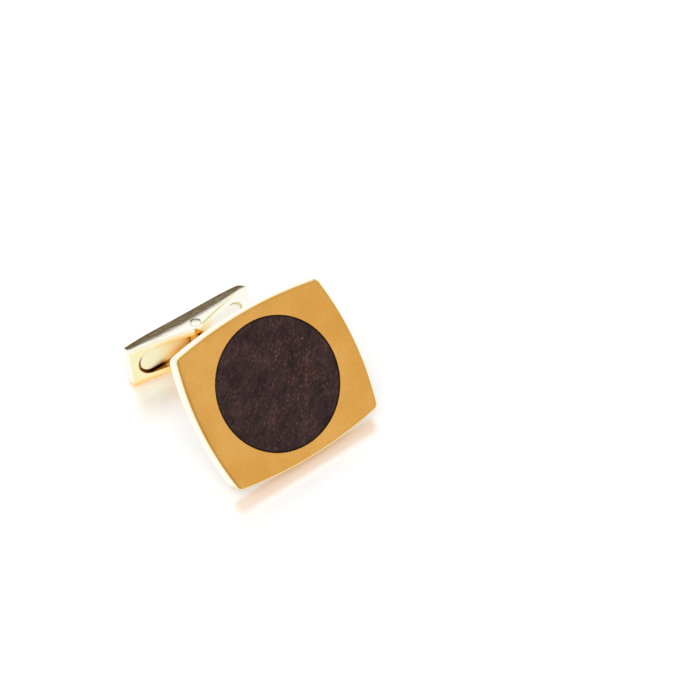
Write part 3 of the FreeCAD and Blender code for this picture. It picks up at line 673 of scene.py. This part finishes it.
# Leaf spring: a thin round-ended strip of gilt spring steel lying in the slot.
# It presses on the squared eye, so that the toggle snaps open or folded.
# It is brushed lengthwise, which gives it a soft pale gloss. The lines are drawn coarse so that they show.
SPRING_GAP = 0.28
SPRING_THICKNESS = 0.25
SPRING_EDGE = 0.06
BRUSH_LINE, BRUSH_STRETCH = 0.12, 8.0
UNDER_POST_SHADE = (("X", -5.0, -2.6), ("X", 5.0, 2.6))

spring_steel, tree, shader = new_finish("gilt_spring_steel", Metallic=1.0)
brush = add_node(tree, "ShaderNodeMapping", {"Vector": measured(tree), "Scale": (BRUSH_STRETCH, 1.0, 1.0)},
                 vector_type="TEXTURE")
lines = add_node(tree, "ShaderNodeTexNoise", {"Vector": brush, "Scale": 1 / BRUSH_LINE, "Detail": 3.0})
tone = add_node(tree, "ShaderNodeMix", {"Factor": lines, "A": linear("#FFF3BC"), "B": linear("#FFFADC")},
                data_type="RGBA")
haze = add_node(tree, "ShaderNodeMapRange", {"Value": lines, "To Min": 0.28, "To Max": 0.4})
wire(tree, shader, {"Base Color": tone, "Roughness": haze})
# Painted shade deepens the strip under the post; its right half is drawn paler.
recolour(spring_steel, "#FFDE9C", UNDER_POST_SHADE)
recolour(spring_steel, "#FFFCF0", RIGHT_HALF)

bm = bmesh.new()
strip = stadium(bm, SLOT_LENGTH - 2 * SPRING_GAP, SLOT_HEIGHT - 2 * SPRING_GAP, -SPRING_SEAT, (24, 12))
bmesh.ops.edgeloop_fill(bm, edges=strip)
top = raise_loop(bm, strip, SPRING_THICKNESS)
bmesh.ops.edgeloop_fill(bm, edges=top)
round_off(bm, top, SPRING_EDGE, 3)
add_piece(bm, "slot_spring", on_toggle, "toggle", "leaf_spring", "spring_steel", spring_steel)

# Pivot pin: a gilt brass rivet through the bar and the eye of the post.
# Its two heads are closed flush with the bar's sides and buffed together with them.
HEAD_ROUND = 0.12

bm = bmesh.new()
end = BAR_HEIGHT / 2
turned(bm, rivet(HEAD_RADIUS, SHANK_RADIUS, end, end - HEAD_DEPTH))
rims = [line for line in bm.edges if all(abs(abs(spot.co.z) - end) < TINY
                                         and spot.co.xy.length > SHANK_RADIUS for spot in line.verts)]
round_off(bm, rims, HEAD_ROUND, 4)
add_piece(bm, "swivel_rivet", upright, "toggle", "pivot_pin", "polished_gold", toggle_gold)

# Floor: a wide sheet of white glossy board. It goes to white in the picture and keeps a soft shadow,
# and its fine tooth blurs what it mirrors.
FLOOR_REACH = 900.0
TOOTH = 0.2
MIRROR_SHARE = 0.4
SEEN_LIFT, MIRRORED_LIFT = 0.1, 0.95
WHITE = (1, 1, 1, 1)

white_board, tree, shader = new_finish("white_glossy_board", Base_Color=linear("#FAFAFA"), Roughness=0.6,
                                       Specular_IOR_Level=0.0)
path = add_node(tree, "ShaderNodeLightPath")
glow = add_node(tree, "ShaderNodeEmission", {"Color": WHITE, "Strength": 1.0})
seen = add_node(tree, "ShaderNodeMath", {0: path.outputs["Is Camera Ray"], 1: SEEN_LIFT},
                operation="MULTIPLY")
lift = add_node(tree, "ShaderNodeMath", {0: path.outputs["Is Glossy Ray"], 1: MIRRORED_LIFT, 2: seen},
                operation="MULTIPLY_ADD")
paper = add_node(tree, "ShaderNodeMixShader", {0: lift, 1: shader, 2: glow})
spots = add_node(tree, "ShaderNodeTexCoord").outputs["Object"]
tooth = add_node(tree, "ShaderNodeTexWhiteNoise", {"Vector": spots}, noise_dimensions="3D").outputs["Color"]
lean = add_node(tree, "ShaderNodeVectorMath", {0: tooth, 1: (TOOTH, TOOTH, 0),
                                               2: (-TOOTH / 2, -TOOTH / 2, 1)}, operation="MULTIPLY_ADD")
facing = add_node(tree, "ShaderNodeVectorMath", {0: lean}, operation="NORMALIZE")
sheen = add_node(tree, "ShaderNodeBsdfGlossy", {"Color": WHITE, "Roughness": 0.0, "Normal": facing})
mirror = add_node(tree, "ShaderNodeMath", {0: path.outputs["Is Camera Ray"], 1: MIRROR_SHARE},
                  operation="MULTIPLY")
board = add_node(tree, "ShaderNodeMixShader", {0: mirror, 1: paper, 2: sheen})
wire(tree, tree.nodes["Material Output"], {"Surface": board})
bm = bmesh.new()
bmesh.ops.create_grid(bm, x_segments=1, y_segments=1, size=FLOOR_REACH * MM)
mesh = bpy.data.meshes.new("floor")
bm.to_mesh(mesh)
bm.free()
mesh.materials.append(white_board)
floor = bpy.data.objects.new("floor", mesh)
bpy.context.scene.collection.objects.link(floor)

# Light: a white room with one dark strip on the wall behind the table, so that the mirror-bright toggle has
# something to show, and two large soft lamps that light without being mirrored.
# The strip's heading is in degrees, and its half width and heights are read on a sphere of radius one.
STRIP_HEADING, STRIP_HALF, STRIP_SIDE_FADE = 62.0, 0.5, 0.05
STRIP_BOTTOM, STRIP_BOTTOM_FADE = 0.2, 0.08
STRIP_TOP, STRIP_TOP_FADE = 0.48, 0.2
ROOM_LIGHT = 0.62
scene = bpy.context.scene
room = bpy.data.worlds.new("studio_room")
scene.world = room
room.use_nodes = True
tree = room.node_tree
path = add_node(tree, "ShaderNodeLightPath")
way = add_node(tree, "ShaderNodeTexCoord").outputs["Generated"]
heading = add_node(tree, "ShaderNodeVectorRotate", {"Vector": way, "Angle": math.radians(-STRIP_HEADING)},
                   rotation_type="Z_AXIS")
ahead, aside, height = add_node(tree, "ShaderNodeSeparateXYZ", {0: heading}).outputs
strip = add_node(tree, "ShaderNodeMath", {0: ahead, 1: 0.0}, operation="GREATER_THAN")
off = add_node(tree, "ShaderNodeMath", {0: aside}, operation="ABSOLUTE")
for reading, start, end in ((off, STRIP_HALF + STRIP_SIDE_FADE, STRIP_HALF),
                            (height, STRIP_BOTTOM - STRIP_BOTTOM_FADE, STRIP_BOTTOM),
                            (height, STRIP_TOP + STRIP_TOP_FADE, STRIP_TOP)):
    fade = add_node(tree, "ShaderNodeMapRange", {"Value": reading, "From Min": start, "From Max": end})
    strip = add_node(tree, "ShaderNodeMath", {0: strip, 1: fade}, operation="MULTIPLY")
wall = add_node(tree, "ShaderNodeMix", {"Factor": strip, "A": WHITE, "B": linear("#6E5E44")},
                data_type="RGBA")
soft = add_node(tree, "ShaderNodeMix", {"Factor": path.outputs["Is Diffuse Ray"], "A": wall,
                                        "B": (ROOM_LIGHT, ROOM_LIGHT, ROOM_LIGHT, 1)}, data_type="RGBA")
plain = add_node(tree, "ShaderNodeMath", {0: path.outputs["Is Camera Ray"],
                                          1: path.outputs["Is Singular Ray"]}, operation="MAXIMUM")
shown = add_node(tree, "ShaderNodeMix", {"Factor": plain, "A": soft, "B": WHITE}, data_type="RGBA")
wire(tree, tree.nodes["Background"], {"Color": shown})

# Each lamp's place and size are in metres, its power in watts.
for name, spot, size, power in (("front_lamp", (-0.2, -0.35, 0.6), 0.5, 3.0),
                                ("left_lamp", (-0.45, 0.08, 0.45), 0.35, 0.9)):
    lamp = bpy.data.lights.new(name, "AREA")
    lamp.shape = "SQUARE"
    lamp.size = size
    lamp.energy = power
    holder = bpy.data.objects.new(name, lamp)
    holder.location = spot
    holder.rotation_mode = "QUATERNION"
    holder.rotation_quaternion = (-Vector(spot)).to_track_quat("-Z", "Y")
    holder.visible_glossy = False
    scene.collection.objects.link(holder)

# Camera: a long lens that looks down at the table from the left, rolled a little.
# It aims at a spot on the table beside the object, which so stands left of the picture's middle.
VIEW_AZIMUTH, VIEW_ELEVATION, VIEW_ROLL = -34.684, 45.977, -4.458
VIEW_DISTANCE = 292.816
VIEW_SPOT = Vector((13.363, -0.871, 0.0))
FOCAL_LENGTH, SENSOR_WIDTH = 134.43, 36.0
lens = bpy.data.cameras.new("camera")
lens.sensor_width = SENSOR_WIDTH
lens.lens = FOCAL_LENGTH
lens.clip_start, lens.clip_end = 0.01, 10.0
camera = bpy.data.objects.new("camera", lens)
turn = (Matrix.Rotation(math.radians(VIEW_AZIMUTH), 4, "Z")
        @ Matrix.Rotation(math.radians(90 - VIEW_ELEVATION), 4, "X")
        @ Matrix.Rotation(math.radians(VIEW_ROLL), 4, "Z"))
camera.matrix_world = Matrix.Translation((VIEW_SPOT + turn.col[2].xyz * VIEW_DISTANCE) * MM) @ turn
scene.collection.objects.link(camera)
scene.camera = camera
scene.view_settings.view_transform = "Standard"
